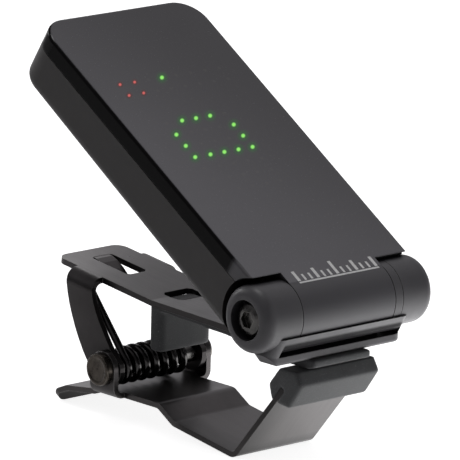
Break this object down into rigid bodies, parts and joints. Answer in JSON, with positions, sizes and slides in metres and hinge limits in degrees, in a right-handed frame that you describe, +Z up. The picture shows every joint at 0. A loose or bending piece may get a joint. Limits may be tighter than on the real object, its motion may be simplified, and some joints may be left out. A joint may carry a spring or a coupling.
{
  "type": "clip-on tuner",
  "caption": "Clip-on instrument tuner: a slim display head on a friction hinge, carried by a sprung sheet-steel clamp with rubber-faced jaws.",
  "frame": {"origin": "centre of the bounding box, at the floor the clip rests on", "axes": "+Z up, +X along the display head's hinge barrel towards its nut end, +Y to the rear, from the jaw mouth towards the finger tabs"},
  "size_m": [0.0314, 0.0553, 0.0568],
  "materials": {
    "dark_steel": "satin black nickel plating",
    "pin_steel": "turned, dark plated",
    "spring_steel": "oiled black spring wire",
    "screw_steel": "bright plated",
    "pad_rubber": "matt moulded rubber",
    "black_plastic": "satin moulded",
    "display_gloss": "polished smoke",
    "board_green": "solder mask",
    "led_red": "clear resin",
    "led_green": "clear resin",
    "led_unlit": "clear resin",
    "shield_black": "printed film",
    "chip_black": "moulded epoxy",
    "contact_brass": "bright stamping",
    "lead_insulation": "insulated wire",
    "cell_steel": "nickel plated",
    "button_rubber": "matt moulded rubber"
  },
  "bodies": {
    "lower_jaw": {"lower_jaw_plate": "dark_steel", "lower_jaw_pad": "pad_rubber", "pivot_pin": "pin_steel", "torsion_spring": "spring_steel"},
    "upper_jaw": {"upper_jaw_plate": "dark_steel", "upper_jaw_pad": "pad_rubber", "pivot_sleeve": "pin_steel", "hinge_bracket": "black_plastic", "bracket_screws": "screw_steel", "hinge_screw": "screw_steel", "hinge_nut": "screw_steel", "friction_washers": "screw_steel", "hinge_end_cap": "black_plastic"},
    "head": {"front_cover": "display_gloss", "rear_case": "black_plastic", "hinge_bush": "pin_steel", "circuit_board": "board_green", "red_leds": "led_red", "green_leds": "led_green", "unlit_leds": "led_unlit", "light_shield": "shield_black", "controller_chip": "chip_black", "power_switch": "chip_black", "piezo_sensor": "contact_brass", "piezo_leads": "lead_insulation", "coin_cell": "cell_steel", "battery_negative_contact": "contact_brass", "battery_positive_contact": "contact_brass", "battery_door": "black_plastic", "battery_door_screw": "screw_steel", "case_screws": "screw_steel"},
    "power_button": {"power_button": "button_rubber"}
  },
  "joints": [
    {"name": "jaw_pivot", "type": "hinge", "parent": "lower_jaw", "child": "upper_jaw", "pos_m": [-0.00022, 0.0136, 0.00774], "axis": [-1, 0, 0], "range_deg": [0, 26], "stiffness_Nm_per_rad": 0.25, "springref_deg": -28.65, "deforming": ["torsion_spring"]},
    {"name": "head_tilt", "type": "hinge", "parent": "upper_jaw", "child": "head", "pos_m": [-0.00022, -0.02285, 0.02314], "axis": [1, 0, 0], "range_deg": [-20, 90]},
    {"name": "power_press", "type": "slide", "parent": "head", "child": "power_button", "axis": [0, -0.5268, 0.85], "range_m": [0, 0.0004], "stiffness_N_per_m": 1500}
  ]
}
